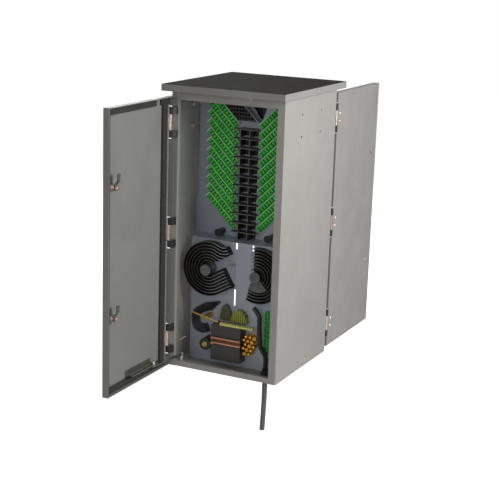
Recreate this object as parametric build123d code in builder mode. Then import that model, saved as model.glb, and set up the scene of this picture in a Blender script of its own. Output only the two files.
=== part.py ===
from build123d import *
from math import atan2, cos, degrees, hypot, pi, radians, sin, sqrt
import os

os.makedirs("parts", exist_ok=True)

# Fibre distribution hub cabinet, millimetres. Origin: middle of the base's underside.
# +X to the right, -Y to the front, +Z up. The cabinet is the same turned half a turn
# about the Z axis, apart from what it holds inside. Both doors stand open.

# Cabinet body
body_width = 424.0
body_depth = 434.0
roof_top = 1000.0
sheet = 2.5
inner_bend = 0.5
roof_side_overhang = 18.0
roof_end_overhang = 43.0
roof_skirt = 23.0
roof_tab_width = 13.0
roof_tab_drop = 5.0
roof_tab_x = (-55.0, 100.0)
stile_width = 28.0
lip_depth = 12.0
header_height = 52.5
sill_height = 19.0
base_hole_radius = 6.5
base_hole_spacing_x = 320.0
base_hole_spacing_y = 340.0

# Inserts in the side walls for a pole or wall bracket
insert_hole_radius = 4.2
insert_flange_radius = 8.0
insert_length = 9.0
upper_insert_centre = (0.0, 877.5)
upper_insert_spacing = (160.0, 75.0)
lower_insert_centre = (0.0, 29.0)
lower_insert_spacing = 69.0

# Doors
hinge_axis_inset = 6.0
hinge_axis_forward = 18.0
door_gap_at_hinge = 1.0
door_side_margin = 9.0
door_bottom = 13.0
door_below_roof = 40.0
door_depth = 23.0
door_skin_outside = 5.5
door_corner_radius = 2.0

# Gaskets on the doors, lengths measured from the hinge axis
gasket_thickness = 8.0
gasket_width = 20.0
gasket_edge_margin = 6.0
gasket_hinge_strip = (28.0, 56.0)
gasket_top_gap = (68.0, 100.0)
gasket_top_foot = 16.0

# Hinges
hinge_pitch = 383.0
hinge_knuckle_radius = 5.0
hinge_pin_radius = 3.0
hinge_leaf_height = 54.0
hinge_block_height = 25.5
hinge_gap = 0.4
hinge_running_gap = 0.05
hinge_leaf_thickness = 2.5
hinge_leaf_reach = 27.0
hinge_notch_inset = 5.4
hinge_foot = (9.5, 25.0)
hinge_pin_head = 2.0

# Latches, two on each door
latch_from_free_edge = 48.5
latch_pitch = 432.0
latch_head_radius = 11.0
latch_head_height = 3.0
latch_barrel_radius = 8.0
latch_barrel_inside = 7.0
latch_nut_across = 22.0
latch_nut_height = 5.0
spindle_radius = 4.0
spindle_running_gap = 0.06
spindle_length_inside = 26.0
cam_thickness = 3.0
cam_width = 15.0
cam_length = 47.0
cam_hub_inward = 11.5
cam_behind_stile = 0.9
cam_tail = 9.0
cam_crank = (13.0, 24.0)

# Door stays
stay_stud_place = (46.0, 20.0)
stay_slot_inward = 18.0
stay_pin_start = 124.0
stay_slot_length = 132.0
stay_slot_width = 8.4
stay_bracket_span = (112.0, 272.0)
stay_bracket_bottom = 48.0
stay_bracket_height = 14.0
stay_bracket_reach = 30.0
stay_arm_bottom = 38.0
stay_arm_width = 16.0
stay_arm_thickness = 3.0
stay_collar_height = 2.7
stay_bolt_radius = 4.0
stay_bolt_head_radius = 7.0
stay_stud_radius = 4.0
stay_shoulder_radius = 7.0
stay_cap_height = 5.0
stay_gap = 0.3

# Bulkhead and adapters
bulkhead_front = -35.0
bulkhead_sheet = 2.0
bulkhead_bottom = 452.0
bulkhead_below_roof = 32.0
bulkhead_flange = 18.0
bulkhead_gap = (585.0, 925.0)
bulkhead_gap_width = 9.0
bulkhead_opening = ((38.0, 878.0), (45.0, 878.0), (74.0, 955.0), (-16.0, 955.0))
adapters_per_row = 12
adapter_pitch = 12.75
rows_per_side = 12
row_rise = 33.0
row_flange_width = 22.8
row_flange_thickness = 3.0
adapter_size = (10.2, 16.5)
adapter_reach = 11.0
adapter_rear_reach = 12.0
row_window_margin = 4.0
row_window_height = 14.0
row_inner_corner = (37.5, 860.0)

# Jumper guides
guide_count = 12
guide_pitch = 33.0
guide_bottom = 455.0
guide_width = 95.0
guide_stem_width = 62.0
guide_height = 28.0
guide_depth = 44.0
guide_wall = 3.0
guide_clear_of_rows = 18.0
guide_rib_spacing = 36.0
finger_radius = 1.5
finger_spacing = 74.0
finger_reach = 6.0

# Connector parking
parking_outline = ((-35.0, 872.0), (40.0, 872.0), (-54.0, 966.0), (-129.0, 966.0))
parking_front = -67.0
parking_wall = 2.0
parking_hole = 7.0
parking_hole_depth = 12.0
parking_grid = (6, 7)
parking_hole_pitch = 11.0

# Spool panel and spools. Angles are in degrees from the +X direction
panel_half_width = 177.0
panel_front = -117.0
panel_top = 454.5
panel_foot = 22.0
panel_slots = ((0.0, 441.0, 22.0), (-2.0, 255.0, 60.0), (64.0, 441.0, 22.0))
panel_slot_width = 7.0
spool_spacing = 192.0
spool_height = 352.0
spool_inner_wall = 31.0
spool_wall_pitch = 11.0
spool_walls = 7
spool_wall = 2.6
spool_base = 3.0
spool_channel_depth = 27.0
hub_radius = 20.0
hub_front = -167.0
hub_gap = 0.2
run_angle = 30.0
run_length = 54.0
exit_radius = 122.0
exit_angle = 62.0
exit_turn = 58.0
free_band = (-21.0, 10.0)
free_band_reach = 160.0
exit_limit = 93.0
finger_edge = -25.0
fan_edge = ((-27.0, -30.0), (-52.0, -120.0))
inner_stop_radius = 58.0
inner_stop_angles = (-50.0, -125.0)
peg_spacing = 194.0
peg_height = 470.0
peg_radius = 13.0
peg_front = -77.0
peg_lip = 2.0

# Cable entry parts at the foot
box_corner = (-69.0, 30.0)
box_size = (115.0, 45.0, 130.0)
box_edge_radius = 3.0
bar_centre = (-2.0, 104.5)
bar_size = (104.0, 5.0, 22.0)
bar_post_spacing = 80.0
bar_post_radius = 5.0
bar_post_length = 5.0
bar_hole_radius = 2.6
bar_hole_count = 8
bar_end_size = (8.0, 10.0, 26.0)
lug_count = 5
lug_radius = 7.5
lug_length = 34.0
lug_first = (58.0, 68.0)
lug_last = (96.0, 128.0)
gland_centre = (-91.0, 82.0)
gland_front = -167.0
gland_radius = 21.5
gland_core_radius = 10.0
gland_core_reach = 4.0
rod_radius = 3.5
rod_start = (-143.0, 192.0)
rod_end = (-41.0, 171.0)
rod_front = -164.0
clamp_block_centre = (-91.0, 181.0)
clamp_block_size = (14.0, 14.0)
comb_span = (-36.0, 94.0)
comb_thickness = 10.0
comb_height = 6.0
comb_tooth_height = 5.0
comb_tooth_width = 4.0
comb_teeth = 13
fan_centre_x = 26.0
fan_half_width = 32.0
fan_height = 45.0
fan_thickness = 24.0
fan_bottom = 172.0
slack_centre_x = -30.0
slack_half_width = 21.0
slack_height = 56.0
slack_thickness = 16.0
cover_rounding = 2.5
strip_centre = (133.5, 148.5)
strip_width = 23.0
strip_cells = 10
strip_pitch = 15.6
strip_cell_gap = 2.4
strip_base = 3.0
strip_cell_reach = 10.0

# Entry sleeve and the cable loop held by the clamp rod
sleeve_radius = 8.0
sleeve_route = (
    (84.0, -138.0, 236.0),
    (110.0, -144.0, 212.0),
    (112.0, -145.0, 150.0),
    (116.0, -144.0, 100.0),
    (136.0, -137.0, 66.0),
    (136.0, -137.0, 23.0),
)
sleeve_radii = (30.0, 60.0, 60.0, 40.0)
loop_radius = 4.5
loop_route = (
    (-57.0, -121.8, 230.0),
    (-115.0, -121.8, 216.0),
    (-168.0, -121.8, 180.0),
    (-160.0, -121.8, 116.0),
    (-122.0, -121.8, 110.0),
    (-95.0, -121.8, 122.0),
)
loop_radii = (45.0, 40.0, 30.0, 30.0)

# Rear equipment: splitters above, splice trays below
splitter_count = 6
splitter_size = (22.0, 78.0, 150.0)
splitter_pitch = 27.0
splitter_clear_of_rows = 6.0
shelf_top = 800.0
shelf_depth = 82.0
shelf_flange = 30.0
tray_count = 6
tray_size = (120.0, 8.0, 296.0)
tray_pitch = 9.5
tray_corner = (73.0, 120.0)
tray_wall = 2.0
tray_corner_radius = 10.0
tray_spine = (16.0, 40.0)

# Cable that leaves the base
cable_place = (136.0, -137.0)
cable_radius = 9.2
cable_route = (
    (136.0, -137.0, -13.0),
    (136.0, -137.0, -76.0),
    (134.5, -137.0, -138.0),
    (131.5, -137.0, -205.0),
)
cable_radii = (900.0, 900.0)
entry_hole_radius = 12.5
entry_nut_across = 34.0
entry_nut_height = 6.0
entry_neck_height = 18.0
entry_lower_length = 15.0

# Derived places
half_width = body_width / 2
half_depth = body_depth / 2
opening_half = half_width - stile_width
wall_top = roof_top - sheet
bend = sheet + inner_bend
opening_top = wall_top - header_height
door_top = roof_top - door_below_roof
bulkhead_top = roof_top - bulkhead_below_roof
hinge_x = -half_width + hinge_axis_inset
hinge_y = -half_depth - hinge_axis_forward
door_inner = door_depth - door_skin_outside
skin_inner = -door_skin_outside + sheet
door_free_edge = body_width - hinge_axis_inset - door_side_margin + door_gap_at_hinge
door_width = door_free_edge - door_gap_at_hinge
door_middle = (door_bottom + door_top) / 2
hinge_heights = [door_middle - hinge_pitch, door_middle, door_middle + hinge_pitch]
latch_heights = [door_middle - latch_pitch / 2, door_middle + latch_pitch / 2]
latch_along = door_free_edge - latch_from_free_edge
hinge_half = hinge_leaf_height / 2
block_low = hinge_half + hinge_gap
hinge_reach_z = block_low + hinge_block_height
stile_back_inward = hinge_axis_forward + sheet
bulkhead_back = bulkhead_front + bulkhead_sheet


def save(piece, name):
    piece.part.label = name
    export_step(piece.part, f"parts/{name}.step")


def half_turn(piece):
    """The same piece for the rear, half a turn about the Z axis."""
    with BuildPart() as copy:
        add(piece.part.rotate(Axis.Z, 180))
    return copy


def front_plane(x, y, z):
    """Upright plane that faces the front: local x to the right, local y up."""
    return Plane(origin=(x, y, z), x_dir=(1, 0, 0), z_dir=(0, -1, 0))


def door_plane(inward):
    """Plane of the open front door: local x along the door, local y up, facing its outside."""
    return Plane(origin=(hinge_x + inward, hinge_y, 0), x_dir=(0, -1, 0), z_dir=(-1, 0, 0))


# Side walls: a wall with both stiles, and a stiffening lip on the hinged side
with BuildPart() as side_panel_left:
    with BuildSketch(Plane.XY) as wall_section:
        with BuildLine() as wall_fold:
            FilletPolyline(
                (-opening_half, -half_depth + lip_depth),
                (-opening_half, -half_depth),
                (-half_width, -half_depth),
                (-half_width, half_depth),
                (-opening_half, half_depth),
                radius=bend,
            )
            offset(amount=sheet, side=Side.RIGHT)
        make_face()
    extrude(amount=wall_top)
    with BuildSketch(Plane.YZ.offset(-half_width)) as insert_holes:
        with Locations(upper_insert_centre):
            with GridLocations(*upper_insert_spacing, 2, 2):
                Circle(insert_hole_radius)
        with Locations(lower_insert_centre):
            with GridLocations(lower_insert_spacing, 1, 2, 1):
                Circle(insert_hole_radius)
    extrude(amount=sheet, mode=Mode.SUBTRACT)
save(side_panel_left, "side_panel_left")
save(half_turn(side_panel_left), "side_panel_right")

with BuildPart() as left_inserts:
    with BuildSketch(Plane.YZ.offset(-half_width + sheet)) as insert_flanges:
        with Locations(upper_insert_centre):
            with GridLocations(*upper_insert_spacing, 2, 2):
                Circle(insert_flange_radius)
                Circle(insert_hole_radius, mode=Mode.SUBTRACT)
        with Locations(lower_insert_centre):
            with GridLocations(lower_insert_spacing, 1, 2, 1):
                Circle(insert_flange_radius)
                Circle(insert_hole_radius, mode=Mode.SUBTRACT)
    extrude(amount=insert_length)
with BuildPart() as side_inserts:
    add(left_inserts.part)
    add(left_inserts.part.rotate(Axis.Z, 180))
save(side_inserts, "side_inserts")

# Top rails of the two door openings
with BuildPart() as front_header:
    with BuildSketch(Plane.YZ.offset(-opening_half)) as header_section:
        with BuildLine() as header_fold:
            FilletPolyline(
                (-half_depth, wall_top),
                (-half_depth, opening_top),
                (-half_depth + lip_depth, opening_top),
                radius=bend,
            )
            offset(amount=sheet, side=Side.LEFT)
        make_face()
    extrude(amount=2 * opening_half)
save(front_header, "front_header")
save(half_turn(front_header), "rear_header")

# Base tray with both sills
with BuildPart() as base_plate:
    with BuildSketch(Plane.YZ.offset(-opening_half)) as tray_section:
        with BuildLine() as tray_fold:
            FilletPolyline(
                (-half_depth + lip_depth, sill_height),
                (-half_depth, sill_height),
                (-half_depth, 0),
                (half_depth, 0),
                (half_depth, sill_height),
                (half_depth - lip_depth, sill_height),
                radius=bend,
            )
            offset(amount=sheet, side=Side.LEFT)
        make_face()
    extrude(amount=2 * opening_half)
    with BuildSketch(Plane.XY) as tray_floor:
        floor_depth = body_depth - 2 * lip_depth
        Rectangle(body_width - 2 * sheet, floor_depth)
        Rectangle(2 * opening_half, floor_depth, mode=Mode.SUBTRACT)
    extrude(amount=sheet)
    with BuildSketch(Plane.XY) as tray_holes:
        with GridLocations(base_hole_spacing_x, base_hole_spacing_y, 2, 2):
            Circle(base_hole_radius)
        with Locations(cable_place):
            Circle(entry_hole_radius)
    extrude(amount=sheet, mode=Mode.SUBTRACT)
save(base_plate, "base_plate")

# Roof pan, with two tabs under the front skirt
roof_width = body_width + 2 * roof_side_overhang
roof_depth = body_depth + 2 * roof_end_overhang
with BuildPart() as roof_cap:
    with BuildSketch(Plane.XY.offset(roof_top - roof_skirt)) as roof_outline:
        RectangleRounded(roof_width, roof_depth, bend)
    extrude(amount=roof_skirt)
    fillet(roof_cap.faces().sort_by(Axis.Z)[-1].edges(), radius=bend - 1)
    offset(amount=-sheet, openings=roof_cap.faces().sort_by(Axis.Z)[0])
    with BuildSketch(front_plane(0, -roof_depth / 2 + sheet, roof_top - roof_skirt)) as tabs:
        with Locations(*[(x, -roof_tab_drop / 2) for x in roof_tab_x]):
            Rectangle(roof_tab_width, roof_tab_drop)
    extrude(amount=sheet)
save(roof_cap, "roof_cap")

# Doors: a pan whose hinge side is notched at each hinge
with BuildPart() as front_door:
    with BuildSketch(door_plane(door_inner)) as door_outline:
        with Locations(((door_gap_at_hinge + door_free_edge) / 2, door_middle)):
            Rectangle(door_width, door_top - door_bottom)
    extrude(amount=door_depth)
    fillet(front_door.faces().sort_by(Axis.X)[0].edges(), radius=door_corner_radius)
    offset(amount=-sheet, openings=front_door.faces().sort_by(Axis.X)[-1])
    with BuildSketch(door_plane(door_inner)) as hinge_notches:
        with Locations(*[(door_gap_at_hinge, z) for z in hinge_heights]):
            Rectangle(2 * (hinge_notch_inset - door_gap_at_hinge), 2 * (hinge_reach_z + hinge_pin_head + 1))
    extrude(amount=door_depth, mode=Mode.SUBTRACT)
    with BuildSketch(door_plane(skin_inner)) as latch_holes:
        with Locations(*[(latch_along, z) for z in latch_heights]):
            Circle(latch_barrel_radius)
    extrude(amount=sheet, mode=Mode.SUBTRACT)
save(front_door, "front_door")
save(half_turn(front_door), "rear_door")

with BuildPart() as front_door_gasket:
    top_low = door_top - gasket_edge_margin - gasket_width
    bottom_low = door_bottom + sheet + 0.5
    free_side = door_free_edge - gasket_edge_margin
    with BuildSketch(door_plane(skin_inner)) as gasket_strips:
        with BuildLine():
            Polyline(
                (gasket_hinge_strip[0], bottom_low),
                (gasket_hinge_strip[1], bottom_low),
                (gasket_hinge_strip[1], top_low),
                (gasket_top_gap[0], top_low),
                (gasket_top_gap[0], top_low + gasket_width),
                (gasket_top_foot, top_low + gasket_width),
                (gasket_top_foot, top_low),
                (gasket_hinge_strip[0], top_low),
                close=True,
            )
        make_face()
        with BuildLine():
            Polyline(
                (gasket_top_gap[1], top_low + gasket_width),
                (gasket_top_gap[1], top_low),
                (free_side - gasket_width, top_low),
                (free_side - gasket_width, bottom_low + gasket_width),
                (gasket_hinge_strip[1] + 1, bottom_low + gasket_width),
                (gasket_hinge_strip[1] + 1, bottom_low),
                (free_side, bottom_low),
                (free_side, top_low + gasket_width),
                close=True,
            )
        make_face()
    extrude(amount=-gasket_thickness)
save(front_door_gasket, "front_door_gasket")
save(half_turn(front_door_gasket), "rear_door_gasket")


# Hinges: the leaf rides on the door, the two blocks and the pin stay with the cabinet
with BuildPart() as front_hinge_leaves:
    for z in hinge_heights:
        with BuildSketch(Plane.XY.offset(z - hinge_half)) as leaf_section:
            with Locations((hinge_x, hinge_y)):
                Circle(hinge_knuckle_radius)
            leaf_start = hinge_y - hinge_leaf_reach
            with Locations((hinge_x + skin_inner, leaf_start)):
                Rectangle(hinge_leaf_thickness, hinge_leaf_reach, align=(Align.MIN, Align.MIN))
            with Locations((hinge_x, hinge_y)):
                Circle(hinge_pin_radius + hinge_running_gap, mode=Mode.SUBTRACT)
        extrude(amount=hinge_leaf_height)
save(front_hinge_leaves, "front_hinge_leaves")
save(half_turn(front_hinge_leaves), "rear_hinge_leaves")

with BuildPart() as front_blocks:
    for z in hinge_heights:
        for low in (z + block_low, z - block_low - hinge_block_height):
            with BuildSketch(Plane.XY.offset(low)) as block_section:
                with BuildLine():
                    knuckle = CenterArc((hinge_x, hinge_y), hinge_knuckle_radius, 90, 180)
                    Polyline(
                        knuckle @ 1,
                        (hinge_x + hinge_foot[0], hinge_y - 1.0),
                        (-half_width + hinge_foot[1], -half_depth - 6.0),
                        (-half_width + hinge_foot[1], -half_depth),
                        (-half_width + hinge_foot[0], -half_depth),
                        (-half_width + hinge_foot[0], -half_depth - 6.0),
                        knuckle @ 0,
                    )
                make_face()
                with Locations((hinge_x, hinge_y)):
                    Circle(hinge_pin_radius, mode=Mode.SUBTRACT)
            extrude(amount=hinge_block_height)
with BuildPart() as hinge_blocks:
    add(front_blocks.part)
    add(front_blocks.part.rotate(Axis.Z, 180))
save(hinge_blocks, "hinge_blocks")

with BuildPart() as front_pins:
    for z in hinge_heights:
        with BuildSketch(Plane.XY.offset(z - hinge_reach_z)) as pin_section:
            with Locations((hinge_x, hinge_y)):
                Circle(hinge_pin_radius)
        extrude(amount=2 * hinge_reach_z)
        with BuildSketch(Plane.XY.offset(z + hinge_reach_z)) as pin_head_section:
            with Locations((hinge_x, hinge_y)):
                Circle(hinge_knuckle_radius - 0.5)
        extrude(amount=hinge_pin_head)
with BuildPart() as hinge_pins:
    add(front_pins.part)
    add(front_pins.part.rotate(Axis.Z, 180))
save(hinge_pins, "hinge_pins")

# Latches: a housing through the door with its nut, and a quarter-turn spindle with a cranked cam
with BuildPart() as front_latch_housings:
    for z in latch_heights:
        with BuildSketch(door_plane(skin_inner + latch_barrel_inside)) as barrel_section:
            with Locations((latch_along, z)):
                Circle(latch_barrel_radius)
        extrude(amount=latch_barrel_inside + sheet)
        with BuildSketch(door_plane(-door_skin_outside)) as head_section:
            with Locations((latch_along, z)):
                Circle(latch_head_radius)
        extrude(amount=latch_head_height)
        with BuildSketch(door_plane(skin_inner + latch_nut_height)) as nut_section:
            with Locations((latch_along, z)):
                RegularPolygon(latch_nut_across / 2, 6, major_radius=False)
        extrude(amount=latch_nut_height)
        with BuildSketch(door_plane(skin_inner + latch_barrel_inside)) as bore_section:
            with Locations((latch_along, z)):
                Circle(spindle_radius + spindle_running_gap)
        extrude(amount=latch_barrel_inside + sheet + latch_head_height, mode=Mode.SUBTRACT)
save(front_latch_housings, "front_latch_housings")
save(half_turn(front_latch_housings), "rear_latch_housings")

cam_rear = stile_back_inward + cam_behind_stile
for latch_name, latch_z in zip(("lower", "upper"), latch_heights):
    with BuildPart() as spindle:
        with BuildSketch(door_plane(spindle_length_inside)) as shaft_section:
            with Locations((latch_along, latch_z)):
                Circle(spindle_radius)
        extrude(amount=spindle_length_inside + door_skin_outside + latch_head_height - 0.5)
        with BuildSketch(door_plane(cam_hub_inward + cam_thickness + latch_nut_height)) as cam_nut:
            with Locations((latch_along, latch_z)):
                RegularPolygon(spindle_radius + 4, 6, major_radius=False)
        extrude(amount=latch_nut_height)
    save(spindle, f"front_{latch_name}_latch_spindle")
    save(half_turn(spindle), f"rear_{latch_name}_latch_spindle")

    spindle_y = hinge_y - latch_along
    side_view = Plane(origin=(hinge_x, spindle_y, latch_z), x_dir=(1, 0, 0), z_dir=(0, -1, 0))
    with BuildPart() as cam:
        with BuildSketch(side_view) as cam_profile:
            with BuildLine():
                FilletPolyline(
                    (cam_hub_inward, -cam_tail),
                    (cam_hub_inward, cam_crank[0]),
                    (cam_rear, cam_crank[1]),
                    (cam_rear, cam_length),
                    radius=2.0,
                )
                offset(amount=cam_thickness, side=Side.RIGHT)
            make_face()
        extrude(amount=cam_width / 2, both=True)
        with BuildSketch(door_plane(cam_hub_inward + cam_thickness + 1)) as cam_bore:
            with Locations((latch_along, latch_z)):
                Circle(spindle_radius + 0.02)
        extrude(amount=cam_thickness + 2, mode=Mode.SUBTRACT)
    save(cam, f"front_{latch_name}_latch_cam")
    save(half_turn(cam), f"rear_{latch_name}_latch_cam")

# Door stays: slotted bracket on the door, bolt in its slot, arm on a stud of the base
slot_middle = stay_pin_start + stay_slot_length / 2
bracket_middle = (stay_bracket_span[0] + stay_bracket_span[1]) / 2
bracket_length = stay_bracket_span[1] - stay_bracket_span[0]
with BuildPart() as front_stay_bracket:
    bracket_end = hinge_y - stay_bracket_span[0]
    with BuildSketch(Plane.XZ.offset(-bracket_end)) as bracket_section:
        with BuildLine():
            FilletPolyline(
                (hinge_x + skin_inner, stay_bracket_bottom + stay_bracket_height),
                (hinge_x + skin_inner, stay_bracket_bottom),
                (hinge_x + stay_bracket_reach, stay_bracket_bottom),
                radius=bend,
            )
            offset(amount=sheet, side=Side.LEFT)
        make_face()
    extrude(amount=bracket_length)
    with BuildSketch(Plane.XY.offset(stay_bracket_bottom)) as slot_section:
        with Locations((hinge_x + stay_slot_inward, hinge_y - slot_middle)):
            SlotCenterToCenter(stay_slot_length, stay_slot_width, rotation=90)
    extrude(amount=sheet, mode=Mode.SUBTRACT)
save(front_stay_bracket, "front_stay_bracket")
save(half_turn(front_stay_bracket), "rear_stay_bracket")

pin_x = hinge_x + stay_slot_inward
pin_y = hinge_y - stay_pin_start
stud_x = -half_width + stay_stud_place[0]
stud_y = -half_depth + stay_stud_place[1]
arm_length = hypot(pin_x - stud_x, pin_y - stud_y)
arm_angle = degrees(atan2(pin_y - stud_y, pin_x - stud_x))
arm_top = stay_arm_bottom + stay_arm_thickness
collar_top = arm_top + stay_collar_height

with BuildPart() as front_stay_slider:
    with BuildSketch(Plane.XY.offset(collar_top + stay_gap)) as bolt_section:
        with Locations((pin_x, pin_y)):
            Circle(stay_bolt_radius)
    extrude(amount=stay_bracket_bottom + sheet - collar_top - stay_gap)
    with BuildSketch(Plane.XY.offset(stay_bracket_bottom + sheet)) as bolt_head:
        with Locations((pin_x, pin_y)):
            RegularPolygon(stay_bolt_head_radius, 6)
    extrude(amount=stay_cap_height)
save(front_stay_slider, "front_stay_slider")
save(half_turn(front_stay_slider), "rear_stay_slider")

arm_place = Plane(
    origin=(stud_x, stud_y, stay_arm_bottom),
    x_dir=(cos(radians(arm_angle)), sin(radians(arm_angle)), 0),
    z_dir=(0, 0, 1),
)
with BuildPart() as front_stay_arm:
    with BuildSketch(arm_place) as arm_outline:
        with Locations((arm_length / 2, 0)):
            SlotCenterToCenter(arm_length, stay_arm_width)
        Circle(stay_stud_radius + 0.06, mode=Mode.SUBTRACT)
    extrude(amount=stay_arm_thickness)
    with BuildSketch(arm_place.offset(stay_arm_thickness)) as arm_collar:
        with Locations((arm_length, 0)):
            Circle(stay_bolt_head_radius)
    extrude(amount=stay_collar_height)
save(front_stay_arm, "front_stay_arm")
save(half_turn(front_stay_arm), "rear_stay_arm")

with BuildPart() as front_stud:
    with BuildSketch(Plane.XY.offset(sheet)) as shoulder_section:
        with Locations((stud_x, stud_y)):
            Circle(stay_shoulder_radius)
    extrude(amount=stay_arm_bottom - stay_gap - sheet)
    with BuildSketch(Plane.XY.offset(stay_arm_bottom - stay_gap)) as stud_section:
        with Locations((stud_x, stud_y)):
            Circle(stay_stud_radius)
    extrude(amount=stay_arm_thickness + 2 * stay_gap)
    with BuildSketch(Plane.XY.offset(arm_top + stay_gap)) as stud_cap:
        with Locations((stud_x, stud_y)):
            RegularPolygon(stay_bolt_head_radius, 6)
    extrude(amount=stay_cap_height)
with BuildPart() as stay_studs:
    add(front_stud.part)
    add(front_stud.part.rotate(Axis.Z, 180))
save(stay_studs, "stay_studs")

# Bulkhead: upright plate between the side walls, flanged to them, open at the gaps and the window
with BuildPart() as bulkhead_panel:
    inner_half = half_width - sheet
    with BuildSketch(Plane.XY.offset(bulkhead_bottom)) as bulkhead_section:
        with BuildLine():
            FilletPolyline(
                (-inner_half, bulkhead_front + bulkhead_flange),
                (-inner_half, bulkhead_front),
                (inner_half, bulkhead_front),
                (inner_half, bulkhead_front + bulkhead_flange),
                radius=bend,
            )
            offset(amount=bulkhead_sheet, side=Side.LEFT)
        make_face()
    extrude(amount=bulkhead_top - bulkhead_bottom)
    with BuildSketch(front_plane(0, bulkhead_front + bulkhead_flange, 0)) as bulkhead_cuts:
        gap_middle = sum(bulkhead_gap) / 2
        gap_height = bulkhead_gap[1] - bulkhead_gap[0]
        with Locations((-inner_half, gap_middle), (inner_half, gap_middle)):
            Rectangle(2 * bulkhead_gap_width, gap_height)
        with BuildLine():
            Polyline(*bulkhead_opening, close=True)
        make_face()
    extrude(amount=bulkhead_flange, mode=Mode.SUBTRACT)

# Adapter rows: each slopes down to the middle at 45 degrees and reaches through the bulkhead
row_length = adapters_per_row * adapter_pitch
slope = sqrt(0.5)
row_centre_x = row_inner_corner[0] + slope * (row_length + row_flange_width) / 2
row_centre_z = row_inner_corner[1] + slope * (row_length - row_flange_width) / 2
row_places = [(row_centre_x, row_centre_z - row * row_rise) for row in range(rows_per_side)]
window_length = row_length - 2 * row_window_margin
with bulkhead_panel:
    with BuildSketch(front_plane(0, bulkhead_back, 0)) as window_outlines:
        for side in (-1, 1):
            with Locations(*[(side * x, z) for x, z in row_places]):
                Rectangle(window_length, row_window_height, rotation=side * 45)
    extrude(amount=bulkhead_sheet, mode=Mode.SUBTRACT)
save(bulkhead_panel, "bulkhead_panel")

with BuildPart() as one_row:
    row_plane = Plane(
        origin=(row_centre_x, bulkhead_front, row_centre_z),
        x_dir=(slope, 0, slope),
        z_dir=(0, -1, 0),
    )
    with BuildSketch(row_plane) as row_flange:
        Rectangle(row_length, row_flange_width)
    extrude(amount=row_flange_thickness)
    with BuildSketch(row_plane.offset(row_flange_thickness)) as row_bodies:
        with GridLocations(adapter_pitch, 1, adapters_per_row, 1):
            Rectangle(*adapter_size)
    extrude(amount=adapter_reach)
    with BuildSketch(row_plane) as row_rear:
        Rectangle(window_length - 1, row_window_height - 1)
    extrude(amount=-bulkhead_sheet - adapter_rear_reach)
right_rows = [one_row.part.moved(Location((0, 0, -row * row_rise))) for row in range(rows_per_side)]
with BuildPart() as adapter_rows:
    add(right_rows)
    mirror(about=Plane.YZ)
save(adapter_rows, "adapter_rows")

# Jumper guides: a narrow stem between the rows carries a wide shelf with two ribs and two fingers
with BuildPart() as one_guide:
    guide_middle = guide_bottom + guide_height / 2
    with BuildSketch(front_plane(0, bulkhead_front, guide_middle)) as guide_back:
        RectangleRounded(guide_stem_width, guide_height, guide_wall)
    extrude(amount=guide_wall)
    with BuildSketch(Plane.XY.offset(guide_bottom + guide_height - guide_wall)) as guide_shelf:
        with Locations((0, bulkhead_front)):
            Rectangle(guide_stem_width, guide_depth, align=(Align.CENTER, Align.MAX))
        with Locations((0, bulkhead_front - guide_clear_of_rows)):
            front_depth = guide_depth - guide_clear_of_rows
            Rectangle(guide_width, front_depth, align=(Align.CENTER, Align.MAX))
    extrude(amount=guide_wall)
    with BuildSketch(front_plane(0, bulkhead_front, guide_middle)) as guide_ribs:
        with GridLocations(guide_rib_spacing, 1, 2, 1):
            Rectangle(guide_wall, guide_height)
    extrude(amount=guide_depth)
    finger_z = guide_bottom + guide_height - guide_wall / 2
    with BuildSketch(front_plane(0, bulkhead_front - guide_clear_of_rows, finger_z)) as fingers:
        with GridLocations(finger_spacing, 1, 2, 1):
            Circle(finger_radius)
    extrude(amount=guide_depth - guide_clear_of_rows + finger_reach)
guides = [one_guide.part.moved(Location((0, 0, level * guide_pitch))) for level in range(guide_count)]
with BuildPart() as jumper_guides:
    add(guides)
save(jumper_guides, "jumper_guides")

# Connector parking: a block full of square pockets, held in a folded bracket
parking_width = parking_outline[1][0] - parking_outline[0][0]
parking_lean = parking_outline[2][0] - parking_outline[1][0]
parking_rise = parking_outline[2][1] - parking_outline[1][1]
with BuildPart() as parking_block:
    with BuildSketch(front_plane(0, bulkhead_front, 0)) as block_outline:
        with BuildLine():
            Polyline(*parking_outline, close=True)
        make_face()
    extrude(amount=bulkhead_front - parking_front)
    with BuildSketch(front_plane(0, parking_front, 0)) as pockets:
        for line in range(parking_grid[1]):
            share = (line + 0.8) / (parking_grid[1] + 0.6)
            line_x = parking_outline[0][0] + parking_width / 2 + parking_lean * share
            line_z = parking_outline[0][1] + parking_rise * share
            with Locations((line_x, line_z)):
                with GridLocations(parking_hole_pitch, 1, parking_grid[0], 1):
                    Rectangle(parking_hole, parking_hole)
    extrude(amount=-parking_hole_depth, mode=Mode.SUBTRACT)
save(parking_block, "parking_block")

with BuildPart() as parking_bracket:
    with BuildSketch(front_plane(0, bulkhead_front, 0)) as bracket_edge:
        with BuildLine():
            Polyline(
                parking_outline[0],
                parking_outline[1],
                parking_outline[2],
            )
            offset(amount=parking_wall, side=Side.RIGHT)
        make_face()
    extrude(amount=bulkhead_front - parking_front)
save(parking_bracket, "parking_bracket")

# Spool panel: a folded sheet from the floor to a ledge under the bulkhead
with BuildPart() as spool_panel:
    with BuildSketch(Plane.YZ.offset(-panel_half_width)) as panel_section:
        with BuildLine():
            FilletPolyline(
                (bulkhead_front, panel_top),
                (panel_front, panel_top),
                (panel_front, sheet),
                (panel_front + panel_foot, sheet),
                radius=bend,
            )
            offset(amount=sheet, side=Side.LEFT)
        make_face()
    extrude(amount=2 * panel_half_width)
    with BuildSketch(front_plane(0, panel_front, 0)) as panel_cuts:
        for slot_x, slot_z, slot_length in panel_slots:
            with Locations((slot_x, slot_z)):
                Rectangle(panel_slot_width, slot_length)
    extrude(amount=-sheet, mode=Mode.SUBTRACT)
save(spool_panel, "spool_panel")

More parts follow.
